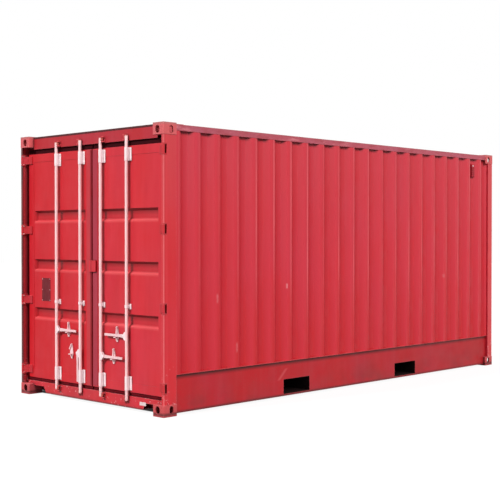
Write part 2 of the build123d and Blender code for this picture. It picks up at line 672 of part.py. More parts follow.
# Rod fittings: a cam at each end of the rod, and the hub that carries the handle's pin
HUB_GAP = HANDLE_T / 2 + CLEVIS_GAP
for n in range(4):
    y = ROD_Y[n]
    to = HANDLE_TO[n]
    hz = HANDLE_Z[n]
    with BuildPart() as fittings:
        for z in (ROD_Z0 + 6, ROD_Z1 - 6 - CAM_TALL):
            block(
                FX + ROD_IN - CAM_T / 2, FX + ROD_IN + CAM_T / 2,
                y + to * ROD_R / 2, y + to * CAM_LONG, z, z + CAM_TALL,
            )
        for dx in (-1, 1):
            a = FX + ROD_IN + dx * HUB_GAP
            b = a + dx * CLEVIS_T
            with BuildSketch(Plane.YZ.offset(min(a, b))):
                with BuildLine():
                    Polyline(
                        (y + to * 2, hz - HUB_TALL / 2), (y + to * (ROD_R + 8), hz - HUB_TALL / 2),
                        (y + to * PIVOT_OFF, hz - HUB_NOSE), (y + to * PIVOT_OFF, hz + HUB_NOSE),
                        (y + to * (ROD_R + 8), hz + HUB_TALL / 2), (y + to * 2, hz + HUB_TALL / 2),
                        close=True,
                    )
                make_face()
                with Locations((y + to * PIVOT_OFF, hz)):
                    Circle(HUB_NOSE)
            extrude(amount=CLEVIS_T)
        with Locations((FX + ROD_IN, y, (ROD_Z0 + ROD_Z1) / 2)):
            Cylinder(ROD_R + FIT, ROD_Z1 - ROD_Z0 + 2, mode=Mode.SUBTRACT)
        with Locations((FX + ROD_IN, y + to * PIVOT_OFF, hz)):
            Cylinder(5.0, 2 * (HUB_GAP + CLEVIS_T), rotation=(0, 90, 0))
    save(fittings, "rod_fittings_" + str(n + 1))

# Handles: flat bars on the clevis pins. The second one hangs down out of its holder.
for n in range(4):
    to = HANDLE_TO[n]
    hy = ROD_Y[n] + to * PIVOT_OFF
    hz = HANDLE_Z[n]
    reach = HANDLE_LONG - PIVOT_OFF
    x0 = FX + ROD_IN - HANDLE_T / 2
    with BuildPart() as handle:
        with BuildSketch(Plane.YZ.offset(x0)):
            with Locations((hy, hz)):
                Circle(HANDLE_ROOT / 2)
            root = HANDLE_ROOT / 2 - 1
            half = HANDLE_TALL / 2
            with BuildLine():
                if n == 1:
                    Polyline(
                        (hy - root, hz), (hy + root, hz), (hy + half, hz - HANDLE_TAPER),
                        (hy + half, hz - reach), (hy - half, hz - reach),
                        (hy - half, hz - HANDLE_TAPER), close=True,
                    )
                else:
                    Polyline(
                        (hy, hz - root), (hy, hz + root), (hy + to * HANDLE_TAPER, hz + half),
                        (hy + to * reach, hz + half), (hy + to * reach, hz - half),
                        (hy + to * HANDLE_TAPER, hz - half), close=True,
                    )
            make_face()
            with Locations((hy, hz)):
                Circle(5.5, mode=Mode.SUBTRACT)
        extrude(amount=HANDLE_T)
    save(handle, "handle_" + str(n + 1))

# Catches: small arms that hang on the holders above the handles. The second one is swung aside.
for n in range(4):
    cy = ROD_Y[n] + HANDLE_TO[n] * CATCH_OFF
    cz = HANDLE_Z[n] + CATCH_UP
    with BuildPart() as catch:
        with BuildSketch(Plane.YZ.offset(FX + CATCH_IN)):
            with Locations((cy, cz)):
                Circle(10.0)
            with Locations(Location((cy, cz), CATCH_ANGLES[n])):
                with Locations((0, -CATCH_LONG / 2)):
                    Rectangle(14.0, CATCH_LONG)
            with Locations((cy, cz)):
                Circle(4.5, mode=Mode.SUBTRACT)
        extrude(amount=CATCH_T)
    save(catch, "catch_" + str(n + 1))
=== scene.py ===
import json
import math
import random

import bmesh
import bpy
from mathutils import Euler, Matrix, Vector


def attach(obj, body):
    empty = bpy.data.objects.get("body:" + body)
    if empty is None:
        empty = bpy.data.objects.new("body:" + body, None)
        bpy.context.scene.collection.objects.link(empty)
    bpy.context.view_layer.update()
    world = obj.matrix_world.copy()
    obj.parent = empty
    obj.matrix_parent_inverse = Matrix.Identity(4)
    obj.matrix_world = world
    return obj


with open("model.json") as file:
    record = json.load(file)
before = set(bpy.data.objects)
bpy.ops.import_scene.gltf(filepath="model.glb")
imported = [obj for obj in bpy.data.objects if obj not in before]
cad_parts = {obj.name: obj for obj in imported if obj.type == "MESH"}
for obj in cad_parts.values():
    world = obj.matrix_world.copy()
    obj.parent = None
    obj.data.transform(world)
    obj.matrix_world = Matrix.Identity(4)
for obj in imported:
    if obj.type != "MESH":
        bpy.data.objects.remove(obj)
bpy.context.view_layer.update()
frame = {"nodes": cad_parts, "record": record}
nodes = frame["nodes"]
slot_of = {p["node"]: p["material_slot"] for p in frame["record"]["subparts"]}

# Sizes in mm, as in the part: the box with its castings and floor, the door end at FX
HX = 3029.0
HY = 1219.0
FX = -HX
HEIGHT = 2896.0
CAST_Y = 162.0
CAST_Z = 118.0
FLOOR_TOP = 232.0

# The doors, with the middles of the panels' grooves and of the hinge blades
FACE_X = FX + 75.0
DOOR_IN = 11.0
DOOR_OUT = 1157.0
DOOR_Z0 = 188.0
DOOR_Z1 = 2699.0
GROOVE_Z = (918.7, 1458.6, 2000.9)
HINGE_Z = (280.0, 1064.7, 1849.3, 2634.0)

# The locking gear, numbered from the left door's hinge side
ROD_X = FX + 45.0
ROD_Y = (600.0, 175.0, -175.0, -600.0)
GUIDE_Z = ((DOOR_Z0 + 19, DOOR_Z0 + 161), (DOOR_Z1 - 152, DOOR_Z1 - 17))
BASE_X = FACE_X - 6
HANDLE_Z = (757.0, 525.0, 525.0, 757.0)
HANDLE_TO = (-1, 1, -1, 1)
PIVOT_OFF = 46.0
CATCH_OFF = 185.0

# The side walls with their ribs, and the vent covers
CREST_Y = HY - 9.0
RIB_FIRST = -2708.0
RIB_PITCH = 277.7
RIB_DEEP = 36.0
RAIL_TOP_Z0 = 2822.0
VENT_X = RIB_FIRST + 19 * RIB_PITCH
VENT_Z1 = RAIL_TOP_Z0 - 70.0
VENT_DEEP = 22.0

# Heads of fixings in mm: radius, length, sides, the part of the length that is domed, upright stretch
GUIDE_BOLT = (6.5, 5.0, 14, 0.6, 1.0)
HOLDER_RIVET = (4.0, 3.5, 12, 0.6, 1.0)
HUB_PIN = (8.0, 2.6, 16, 0.7, 1.0)
PLATE_RIVET = (4.0, 2.2, 12, 0.7, 1.0)
CASTING_NUB = (9.0, 5.5, 12, 0.8, 1.3)
VENT_SCREW = (12.0, 6.0, 14, 0.7, 1.0)
FLOOR_SCREW = (6.0, 1.2, 10, 0.0, 1.0)

# The rings of a dome: part of its length before the far end, part of the radius
DOME_RINGS = ((1.0, 1.0), (0.45, 0.85), (0.12, 0.55), (0.0, 0.22))

# Places of the fixings
GUIDE_BOLT_Y = 36
GUIDE_BOLT_IN = 18
HOLDER_RIVETS = (56, -54)
HUB_HALF = 13
PLATE_RIVET_Y = 8
PLATE_RIVET_Z = 10
NUB_X = (FX + 62, FX + 128)
NUB_Y = HY - 6
NUB_Z = CAST_Z + 10
VENT_SCREW_X = VENT_X - 4
VENT_SCREW_Z = VENT_Z1 - 22
SCREW_OFF = 20
SCREW_STEP = 270.0
SCREW_ROWS = [n * 320.0 for n in range(-2, 3)]
SCREW_ROWS += [s * (1420.0 + n * 300.0) for n in range(5) for s in (1, -1)]

# Weld beads: their size, the hinge blades with their outer and inner end, the castings' edges
BEAD_R = 3.5
BEAD_SIDES = 7
BEAD_STEP = 9.0
DOOR_WELD_X = FACE_X - 1
BLADE_Y = (1152, 1092)
BLADE_END_Y = 1090
BLADE_HALF = 42.5
BLADE_END_HALF = 42
NEAR_WELD_X = (FX + 6, FX + 170)
NEAR_WELD_Y = (HY - 34, HY - 5)
FAR_WELD_X = (HX - 110, HX - 6)

# Rubber lips, cover strips at the door seam, plate, drip edge, bare mark, louvres
LIP_X = (FX + 88, FX + 91)
LIP_Y = 1200.0
LIP_BEVEL = 1.5
LIP_Z = (156.0, DOOR_Z1 + 40)
SEAM_LIP_X = (FACE_X + 8, FACE_X + 10, FACE_X + 11, FACE_X + 22)
SEAM_LIP_IN = {"left": 4.0, "right": 0.5}
SEAM_BLOCK_Z = (1398, 1526)
STRIP_X = (FACE_X - 3, FACE_X + 0.5)
STRIP_Y = (-DOOR_IN - 1, -86)
STRIP_Z = (200, DOOR_Z1 - 10)
EDGE_X = (FACE_X - 2, FACE_X + 0.5)
EDGE_Y = (DOOR_IN + 0.5, 36)
EDGE_Z = (195, DOOR_Z1 - 6)
PLATE_X = (FACE_X + 1.2, FACE_X + 3.5)
PLATE_Y = (758, 914)
PLATE_Z = (1056, 1312)
DRIP_XZ = ((FX + 64, 2870), (FX + 66.5, 2868), (FX + 66.5, 2890), (FX + 64, 2889))
DRIP_Y = HY - CAST_Y
MARK_X = (FX + 65, FX + 66.5)
MARK_Y = (-778, -878)
MARK_Z = (72, 106)
LOUVRES = 5
LOUVRE_Z = VENT_Z1 - 46
LOUVRE_STEP = 27.0
LOUVRE_X = (VENT_X - 27, VENT_X + 27)
LOUVRE_YZ = ((-1, 8), (7, -6), (7, -9), (-1, -9))

# Where marks in the paint are, in m. Two values: the mark fades in from the first to the second. Four
# values: it also fades out from the third to the fourth. A further pair in the call sets both levels.
RIB_HALF = RIB_PITCH / 2000
DUST_Z = (2.868, 2.884)
SPLASH_Z = (0.50, 0.05)
FOOT_Z = (0.010, 0.020, 0.030, 0.050)
UPPER_Z = (1.5, 2.8)
CREST_SIDE = (1.2030, 1.2060)
CREST_EDGE_X = -2.537
CREST_EDGE = (0.015, 0.009)
CREST_LINE_Z = (0.70, 1.50)
CREST_LINE_X = (-2.30, -1.50)
POST_END = (3.008, 3.017)
POST_CORNER = (1.199, 1.207)
POST_SIDE = (1.2178, 1.2184)
CHIPS_Z = (0.60, 0.20)
PIT_X = (-3.0175, -3.0160, -2.933, -2.930)
PIT_SIDE = (1.155, 1.165, 1.2075, 1.2085)
PIT_FIRST_Z = 0.280
PIT_HALF_STEP = 0.39233
PIT_DARK = (0.055, 0.075)
NOTCH_X = (-2.9835, -2.9815, -2.980, -2.978)
NOTCH_SIDE = (1.16, 1.17, 1.2180, 1.2188)
POST_EDGE_X = (-3.010, -3.016)
POST_EDGE_Y = (1.172, 1.180)
POST_EDGE_Z = (0.118, 0.128, 2.768, 2.778)
REAR_STEP_X = (2.925, 2.920)
REAR_STEP_SIDE = (1.180, 1.184)
FLANGE_SIDE = (1.200, 1.192)
FLANGE_UNDER_Z = (0.350, 0.388)
FLANGE_TOP_Z = (0.398, 0.403)
RAIL_ENDS_X = (-2.9, 2.9)
RAIL_FAR_X = (-0.5, 2.9)
RAIL_NEAR_Y = (-1.18, -1.182)
RAIL_FOOT_Z = (0.36, 0.10)
WALL_LOW_Z = (1.40, 0.50)
WALL_NEAR_Y = (-1.19, -1.20)
RIB_TONE_X = -2.4775
RIB_SHADE = (0.080, 0.0)
RIB_SHADE_Z = (1.6, 2.7)
RIB_LIGHT = (0.070, 0.139)
NOOK_SIDE = (1.172, 1.177, 1.186, 1.203)
NOOK_Z = (2.780, 2.812, 2.836, 2.842)
STILE_Y = (0.030, 0.038, 0.100, 0.108)
LEFT_DOOR_Y = (0.100, 0.108)
PANEL_X = (-2.940, -2.925)
PANEL_SIDE = (0.118, 0.126, 1.052, 1.060)
GROOVE_X = (-2.932, -2.926)
GROOVE_SHADOW = (-0.006, 0.038, 0.070, 0.080)
GROOVE_HIGHLIGHT = (-0.086, -0.070, -0.052, -0.042)
HEADER_TOP_Z = (2.866, 2.876)
HEADER_FACE_X = (-2.955, -2.960)
ROD_ENDS_Z = (0.112, 2.792)
FITTING_ENDS_Z = (0.190, 2.700)
WORN_END = 0.016
CORNER_SHADE_REACH = 0.07
ZINC_REACH = 0.02
SEAL_TOP_Z = (2.696, 2.700)

# A slanting scratch on the near rail: x + SCRATCH_SLOPE z = -SCRATCH_AT, faded over SCRATCH_WIDTH
SCRATCH_SLOPE = -1.045
SCRATCH_AT = 1.531
SCRATCH_WIDTH = (0.034, 0.004)
SCRATCH_Z = (0.19, 0.21, 0.31, 0.33)

# Scuffs on the near wall: x, z, half width, half height, strength
SCUFFS = (
    (-2.285, 1.138, 0.020, 0.055, 0.35),
    (-2.378, 0.760, 0.016, 0.022, 0.25),
    (-2.000, 0.615, 0.020, 0.060, 0.30),
    (-1.215, 1.232, 0.016, 0.034, 0.85),
    (1.850, 1.262, 0.034, 0.026, 0.40),
)

# Colours of dirt, wear and fading, and of painted light and shade
TINT = {
    "speck": (0.30, 0.05, 0.045),
    "nick": (0.78, 0.30, 0.30),
    "dust": (0.40, 0.17, 0.16),
    "splash": (0.22, 0.03, 0.03),
    "foot": (0.07, 0.010, 0.010),
    "upward_dust_and_highlight": (0.66, 0.115, 0.125),
    "worn_and_lit_edge": (0.80, 0.27, 0.28),
    "crest_highlight": (0.76, 0.125, 0.145),
    "corner_shade": (0.120, 0.008, 0.013),
    "post_high": (0.60, 0.065, 0.078),
    "post_corner_highlight": (0.76, 0.155, 0.165),
    "rain": (0.66, 0.120, 0.150),
    "chip": (0.80, 0.36, 0.38),
    "pit_light": (0.85, 0.060, 0.075),
    "pit_shade": (0.30, 0.020, 0.028),
    "notch_light": (0.80, 0.060, 0.075),
    "post_edge": (0.060, 0.013, 0.013),
    "rear_step_light": (0.70, 0.035, 0.065),
    "rail_far": (0.38, 0.004, 0.008),
    "flange_shadow": (0.070, 0.001, 0.002),
    "flange_highlight": (0.66, 0.060, 0.070),
    "rail_scratch": (0.76, 0.16, 0.17),
    "rail_brown": (0.19, 0.020, 0.024),
    "wall_high": (0.60, 0.062, 0.085),
    "wall_low": (0.50, 0.009, 0.012),
    "rib_shade": (0.42, 0.004, 0.013),
    "rib_light": (0.70, 0.034, 0.060),
    "under_rail_shadow": (0.060, 0.002, 0.006),
    "scuff": (0.80, 0.26, 0.28),
    "stile_shade": (0.40, 0.045, 0.055),
    "left_door": (0.570, 0.007, 0.014),
    "cloud": (0.66, 0.028, 0.044),
    "shade": (0.47, 0.010, 0.020),
    "panel": (0.30, 0.012, 0.018),
    "groove_shadow": (0.22, 0.002, 0.006),
    "groove_highlight": (0.80, 0.110, 0.118),
    "underside_shade": (0.17, 0.003, 0.006),
    "top_rail_brown": (0.36, 0.050, 0.062),
    "top_rail_pale": (0.74, 0.24, 0.27),
    "header_top": (0.060, 0.006, 0.010),
    "overspray": (0.80, 0.42, 0.42),
    "rod_red": (0.50, 0.040, 0.040),
    "rod_rust": (0.52, 0.14, 0.09),
    "zinc_corner_shade": (0.30, 0.08, 0.08),
    "dull_corner_shade": (0.006, 0.002, 0.002),
    "seal_top_shade": (0.030, 0.003, 0.005),
}

# The ground in m, white outside these limits and with a painted shadow under the base, and the sky,
# brighter upwards
GROUND_R = 60.0
GROUND_SIDES = 48
GROUND_X = (2.845, 2.865)
GROUND_NEAR_Y = (-1.05, -1.07)
GROUND_FAR_Y = (1.26, 1.42)
GROUND_GLOW = (0.03, 0.90)
GROUND_GREY = (0.12, 0.12, 0.12, 1.0)
SKY_UP = (-0.1, 1.0)
SKY_LEVEL = (0.19, 0.29)
SKY = (1.0, 0.985, 0.98, 1.0)
WHITE = (1.0, 1.0, 1.0, 1.0)

# Lamps: name, energy, angle in degrees, direction of travel. One from the door end and above, a broad
# one on the long side, a weak one from behind.
LAMPS = (
    ("door_light", 3.22, 8.0, (0.76, -0.17, -0.62)),
    ("side_light", 2.87, 25.0, (0.02, 0.83, -0.55)),
    ("back_light", 1.5, 60.0, (-0.62, -0.60, -0.40)),
)

# Camera at the photograph's place
camera_data = bpy.data.cameras.new("camera")
camera_data.lens = 76.517
camera_data.sensor_width = 36.0
camera_data.clip_end = 200.0
camera = bpy.data.objects.new("camera", camera_data)
camera.location = (-9.9088, -9.0084, 1.7725)
camera.rotation_euler = Euler((math.radians(89.284), math.radians(0.007), math.radians(-46.105)))
bpy.context.scene.collection.objects.link(camera)
bpy.context.scene.camera = camera
bpy.context.scene.view_settings.view_transform = "Standard"


class Tree:
    # The shader graph of a material or of the world, with a short call for each kind of node
    def __init__(self, owner, output="ShaderNodeOutputMaterial", place="Object"):
        owner.use_nodes = True
        self.owner = owner
        self.nodes = owner.node_tree.nodes
        self.links = owner.node_tree.links
        self.nodes.clear()
        self.surface = self.nodes.new(output).inputs["Surface"]
        self.place = self.nodes.new("ShaderNodeTexCoord").outputs[place]

    def put(self, value, socket):
        if isinstance(value, bpy.types.NodeSocket):
            self.links.new(value, socket)
        else:
            socket.default_value = value

    def add(self, kind, inputs):
        n = self.nodes.new(kind)
        for key, value in inputs.items():
            self.put(value, n.inputs[key])
        return n

    def axis(self, name, vector=None):
        return self.add("ShaderNodeSeparateXYZ", {0: vector or self.place}).outputs[name]

    def stretch(self, sx, sy, sz):
        inputs = {"Vector": self.place, "Scale": (sx, sy, sz)}
        return self.add("ShaderNodeMapping", inputs).outputs[0]

    def noise(self, scale, detail=3.0, vector=None, rough=0.55):
        inputs = {"Vector": vector or self.place, "Scale": scale, "Detail": detail, "Roughness": rough}
        return self.add("ShaderNodeTexNoise", inputs).outputs["Fac"]

    def math(self, kind, a, b=0.0):
        n = self.add("ShaderNodeMath", {0: a, 1: b})
        n.operation = kind
        return n.outputs[0]

    def span(self, value, a, b, c=0.0, d=1.0):
        # From c at a to d at b, level beyond both
        inputs = {"Value": value, "From Min": a, "From Max": b, "To Min": c, "To Max": d}
        return self.add("ShaderNodeMapRange", inputs).outputs[0]

    def within(self, value, a, b, c, d):
        # 1 from b to c, 0 up to a and from d on
        return self.math("MULTIPLY", self.span(value, a, b), self.span(value, d, c))

    def wave(self, value, start, half):
        # The distance to the nearest of a row of places that starts at start and steps by two halves
        return self.math("PINGPONG", self.math("ADD", value, -start), half)

    def all_of(self, *masks):
        result = masks[0]
        for m in masks[1:]:
            result = self.math("MULTIPLY", result, m)
        return result

    def mix(self, factor, a, b):
        n = self.nodes.new("ShaderNodeMix")
        n.data_type = "RGBA"
        self.put(factor, n.inputs[0])
        for value, socket in ((a, n.inputs[6]), (b, n.inputs[7])):
            self.put((*value, 1.0) if isinstance(value, tuple) else value, socket)
        return n.outputs[2]

    def lay(self, colour, tint, strength, *masks):
        # Another colour over this one where all the masks are 1, as far as its strength, which is a
        # number or one more mask
        return self.mix(self.all_of(*masks, strength), colour, TINT.get(tint, tint))

    def corner(self, radius):
        # How far the surface bends within a radius: 0 on flat faces, 1 at edges
        bevel = self.add("ShaderNodeBevel", {"Radius": radius})
        bevel.samples = 4
        normal = self.nodes.new("ShaderNodeNewGeometry").outputs["Normal"]
        dot = self.add("ShaderNodeVectorMath", {0: bevel.outputs[0], 1: normal})
        dot.operation = "DOT_PRODUCT"
        return self.span(dot.outputs["Value"], 0.995, 0.90)

    def nooks(self, distance, low=0.9, high=0.35):
        # 1 deep in corners, 0 on open faces
        n = self.add("ShaderNodeAmbientOcclusion", {"Distance": distance})
        n.samples = 6
        return self.span(n.outputs["AO"], low, high)

    def facing_up(self, low=0.25, high=0.75):
        normal = self.nodes.new("ShaderNodeNewGeometry").outputs["Normal"]
        return self.span(self.axis("Z", normal), low, high)

    def seen(self):
        # 1 for what the camera sees, straight, in a reflection or through glass
        rays = self.nodes.new("ShaderNodeLightPath").outputs
        result = rays["Is Camera Ray"]
        for key in ("Is Glossy Ray", "Is Transmission Ray"):
            result = self.math("MAXIMUM", result, rays[key])
        return result


class Surface(Tree):
    # The graph of a material with one Principled shader
    def __init__(self, name):
        super().__init__(bpy.data.materials.new(name))
        self.shader = self.nodes.new("ShaderNodeBsdfPrincipled")
        self.links.new(self.shader.outputs[0], self.surface)

    def complete(self, colour, grain, low, high, relief, strength, depth):
        # The colour, a roughness between low and high, and a relief; gives the material
        rough = self.span(self.noise(grain, 3.0), 0.3, 0.7, low, high)
        bump = self.add("ShaderNodeBump", {"Height": relief, "Strength": strength, "Distance": depth})
        self.put(colour, self.shader.inputs["Base Color"])
        self.put(rough, self.shader.inputs["Roughness"])
        self.put(bump.outputs[0], self.shader.inputs["Normal"])
        return self.owner


def paint(name, base, edge_wear_and_highlight, corner_shade, dirt, rough, radius=0.006, crest=False, extra=None):
    # Aged satin paint: slow patches, rain streaks, specks and nicks, dust on top, dirt and painted
    # shade at the foot, dust and a painted highlight on faces that look up, pale edges that are partly
    # wear and partly painted highlight, a painted highlight on the ribs' crests and painted shade in
    # corners
    t = Surface(name)
    red, green, blue = base
    deep = tuple(c * 0.84 for c in base)
    cool = (red * 0.92, green + 0.012, blue + 0.030)
    pale = (min(1.0, red * 1.06), green + 0.045, blue + 0.050)
    z = t.axis("Z")
    colour = t.lay(base, deep, 0.40, t.span(t.noise(0.9, 4.0), 0.35, 0.65))
    patches = t.span(t.noise(1.7, 3.0, t.stretch(1.0, 1.0, 0.5)), 0.42, 0.66)
    colour = t.lay(colour, cool, 0.55, patches)
    streaks = t.span(t.noise(3.0, 5.0, t.stretch(5.0, 5.0, 0.35)), 0.46, 0.74)
    colour = t.lay(colour, pale, 0.20, streaks)
    colour = t.lay(colour, "speck", dirt, t.span(t.noise(38.0, 4.0), 0.54, 0.76))
    nicks = t.math("GREATER_THAN", t.noise(9.0, 6.0, t.stretch(3.0, 3.0, 0.8), 0.72), 0.745)
    colour = t.lay(colour, "nick", 0.5, nicks)
    colour = t.lay(colour, "dust", 0.55, t.span(z, *DUST_Z))
    splashes = t.span(t.noise(5.0, 5.0), 0.40, 0.62)
    colour = t.lay(colour, "splash", 0.22, t.span(z, *SPLASH_Z), splashes)
    # Dark band at the foot: painted shade under the base, with dirt
    colour = t.lay(colour, "foot", 0.8, t.within(z, *FOOT_Z))
    # Faces that look up are paler: dust and painted highlight
    colour = t.lay(colour, "upward_dust_and_highlight", 0.45, t.facing_up())
    # Pale edges: wear and painted highlight
    if edge_wear_and_highlight > 0:
        uneven = t.span(t.noise(7.0, 4.0), 0.36, 0.60)
        colour = t.lay(colour, "worn_and_lit_edge", edge_wear_and_highlight, t.corner(radius), uneven)
    # Painted highlight along the ribs' crests
    if crest:
        side = t.span(t.math("ABSOLUTE", t.axis("Y")), *CREST_SIDE)
        edge = t.span(t.wave(t.axis("X"), CREST_EDGE_X, RIB_HALF), *CREST_EDGE)
        rise = t.span(z, *CREST_LINE_Z, 0.20, 1.0)
        along = t.span(t.axis("X"), *CREST_LINE_X, 0.30, 1.0)
        uneven = t.span(t.noise(2.6, 4.0, t.stretch(1.0, 1.0, 0.25)), 0.38, 0.60, 0.30, 1.0)
        colour = t.lay(colour, "crest_highlight", 1.0, side, edge, rise, along, uneven)
    # Painted shade in corners
    if corner_shade > 0:
        colour = t.lay(colour, "corner_shade", corner_shade, t.nooks(CORNER_SHADE_REACH))
    if extra:
        colour = extra(t, colour)
    t.shader.inputs["Specular IOR Level"].default_value = 0.30
    relief = t.math("ADD", t.noise(2.2, 2.0), t.math("MULTIPLY", t.noise(70.0, 2.0), 0.04))
    return t.complete(
        colour, grain=6.0, low=rough - 0.06, high=rough + 0.12, relief=relief, strength=0.30,
        depth=0.006)


def frame_marks(t, colour):
    # Paler paint high up, a painted highlight along the posts' outer corners, rain streaks on their
    # sides, chips near the foot, painted light and shade in the hinge pits, painted light in the
    # notches, and a darker front edge on the left post
    x, y, z = t.axis("X"), t.axis("Y"), t.axis("Z")
    side = t.math("ABSOLUTE", y)
    colour = t.lay(colour, "post_high", 0.60, t.span(z, *UPPER_Z))
    # Painted highlight along the posts' outer corners
    corner = t.all_of(t.span(t.math("ABSOLUTE", x), *POST_END), t.span(side, *POST_CORNER))
    uneven = t.span(t.noise(9.0, 4.0), 0.25, 0.50, 0.45, 1.0)
    colour = t.lay(colour, "post_corner_highlight", 0.60, corner, uneven)
    streaks = t.span(t.noise(4.0, 5.0, t.stretch(8.0, 8.0, 0.35)), 0.42, 0.62)
    colour = t.lay(colour, "rain", 0.75, t.span(side, *POST_SIDE), streaks)
    chips = t.math("GREATER_THAN", t.noise(26.0, 2.0), 0.655)
    colour = t.lay(colour, "chip", 0.55, t.span(z, *CHIPS_Z), chips)
    # In the post's recess: painted light near the hinges and painted shade between them
    away = t.span(t.wave(z, PIT_FIRST_Z, PIT_HALF_STEP), *PIT_DARK)
    depth = t.mix(away, TINT["pit_light"], TINT["pit_shade"])
    colour = t.lay(colour, depth, 1.0, t.within(x, *PIT_X), t.within(side, *PIT_SIDE))
    # Painted light in the shaded notches
    colour = t.lay(colour, "notch_light", 1.0, t.within(x, *NOTCH_X), t.within(side, *NOTCH_SIDE))
    edge = t.all_of(t.span(x, *POST_EDGE_X), t.span(y, *POST_EDGE_Y), t.within(z, *POST_EDGE_Z))
    dirt = t.span(t.noise(5.0, 4.0, t.stretch(1.0, 1.0, 0.5)), 0.30, 0.60, 0.75, 0.95)
    return t.lay(colour, "post_edge", dirt, edge)


def rear_marks(t, colour):
    # Painted light in the shaded step between each rear post and its wall
    side = t.math("ABSOLUTE", t.axis("Y"))
    step = t.all_of(t.span(t.axis("X"), *REAR_STEP_X), t.span(side, *REAR_STEP_SIDE))
    return t.lay(frame_marks(t, colour), "rear_step_light", 1.0, step)


def rail_marks(t, colour):
    # Darker towards the far end, a painted shadow under the flange, a painted highlight on top of it, a
    # slanting scratch, brown patches towards the foot
    x, y, z = t.axis("X"), t.axis("Y"), t.axis("Z")
    colour = t.lay(colour, "rail_far", 0.45, t.span(x, *RAIL_FAR_X))
    # Painted shadow under the flange
    line = t.all_of(t.span(t.math("ABSOLUTE", y), *FLANGE_SIDE), t.span(z, *FLANGE_UNDER_Z))
    colour = t.lay(colour, "flange_shadow", t.span(x, *RAIL_ENDS_X, 0.95, 0.75), line)
    # Painted highlight on top of the flange
    colour = t.lay(colour, "flange_highlight", 0.55, t.span(z, *FLANGE_TOP_Z))
    slant = t.math("ADD", x, t.math("MULTIPLY", z, SCRATCH_SLOPE))
    away = t.math("ABSOLUTE", t.math("ADD", slant, SCRATCH_AT))
    scratch = t.all_of(t.span(away, *SCRATCH_WIDTH), t.within(z, *SCRATCH_Z))
    colour = t.lay(colour, "rail_scratch", 0.32, scratch, t.span(y, *RAIL_NEAR_Y))
    patches = t.span(t.noise(2.4, 5.0, t.stretch(1.0, 1.0, 1.6)), 0.48, 0.66)
    return t.lay(colour, "rail_brown", 0.38, patches, t.span(z, *RAIL_FOOT_Z))


def wall_marks(t, colour):
    # Paler and pinker towards the top, deeper low down, painted shade and light that change slowly
    # across each rib, a painted shadow under the top rail, a few scuffs on the near side
    x, y, z = t.axis("X"), t.axis("Y"), t.axis("Z")
    side = t.math("ABSOLUTE", y)
    colour = t.lay(colour, "wall_high", 0.35, t.span(z, *UPPER_Z))
    colour = t.lay(colour, "wall_low", 0.60, t.span(z, *WALL_LOW_Z))
    # Painted shade and light across each rib
    tone = t.wave(x, RIB_TONE_X, RIB_HALF)
    fall = t.span(z, *RIB_SHADE_Z, 0.85, 0.60)
    colour = t.lay(colour, "rib_shade", fall, t.span(tone, *RIB_SHADE))
    colour = t.lay(colour, "rib_light", 0.60, t.span(tone, *RIB_LIGHT))
    # Painted shadow in the valleys under the top rail
    colour = t.lay(colour, "under_rail_shadow", 0.85, t.within(side, *NOOK_SIDE), t.within(z, *NOOK_Z))
    near = t.span(y, *WALL_NEAR_Y)
    for scuff_x, scuff_z, rx, rz, strength in SCUFFS:
        wide = t.span(t.math("ABSOLUTE", t.math("ADD", x, -scuff_x)), rx, rx * 0.3)
        tall = t.span(t.math("ABSOLUTE", t.math("ADD", z, -scuff_z)), rz, rz * 0.5)
        rough = t.span(t.noise(40.0, 3.0), 0.35, 0.5, 0.4 * strength, strength)
        colour = t.lay(colour, "scuff", rough, near, wide, tall)
    return colour


def door_marks(t, colour):
    # Painted shade on the left door's closing stile, a purer red beyond it, clouds and shades, darker
    # panels, a painted shadow and a painted highlight in the panels' grooves, painted shade on faces
    # that look down
    x, y, z = t.axis("X"), t.axis("Y"), t.axis("Z")
    # Painted shade on the left door's closing stile
    colour = t.lay(colour, "stile_shade", 0.55, t.within(y, *STILE_Y))
    colour = t.lay(colour, "left_door", 0.80, t.span(y, *LEFT_DOOR_Y))
    clouds = t.span(t.noise(3.2, 5.0, t.stretch(1.0, 1.6, 0.5)), 0.40, 0.66)
    colour = t.lay(colour, "cloud", 0.40, clouds)
    shades = t.span(t.noise(2.1, 5.0, t.stretch(1.0, 2.2, 0.4), 0.6), 0.46, 0.68)
    colour = t.lay(colour, "shade", 0.35, shades)
    colour = t.lay(colour, "panel", 0.30, t.span(x, *PANEL_X))
    across = t.within(t.math("ABSOLUTE", y), *PANEL_SIDE)
    deep = t.span(x, *GROOVE_X)
    # In each groove: painted shadow below its top and a painted highlight on its lower slope
    for middle in GROOVE_Z:
        dark = t.within(z, *(middle / 1000 + c for c in GROOVE_SHADOW))
        pale = t.within(z, *(middle / 1000 + c for c in GROOVE_HIGHLIGHT))
        colour = t.lay(colour, "groove_shadow", 0.80, across, deep, dark)
        colour = t.lay(colour, "groove_highlight", 0.45, across, pale)
    # Painted shade on faces that look down
    return t.lay(colour, "underside_shade", 0.75, t.facing_up(-0.20, -0.60))


def top_rail_marks(t, colour):
    # Uneven paint: brownish worn lengths and pale rubbed ones
    brown = t.span(t.noise(5.0, 5.0, t.stretch(1.0, 1.0, 3.0)), 0.47, 0.60)
    colour = t.lay(colour, "top_rail_brown", 0.60, brown)
    pale = t.span(t.noise(3.4, 5.0, t.stretch(1.0, 0.5, 4.0), 0.65), 0.56, 0.66)
    return t.lay(colour, "top_rail_pale", 0.55, pale)


def header_marks(t, colour):
    # Darker along the header's top edge
    top = t.all_of(t.span(t.axis("Z"), *HEADER_TOP_Z), t.span(t.axis("X"), *HEADER_FACE_X))
    return t.lay(colour, "header_top", 0.80, top)


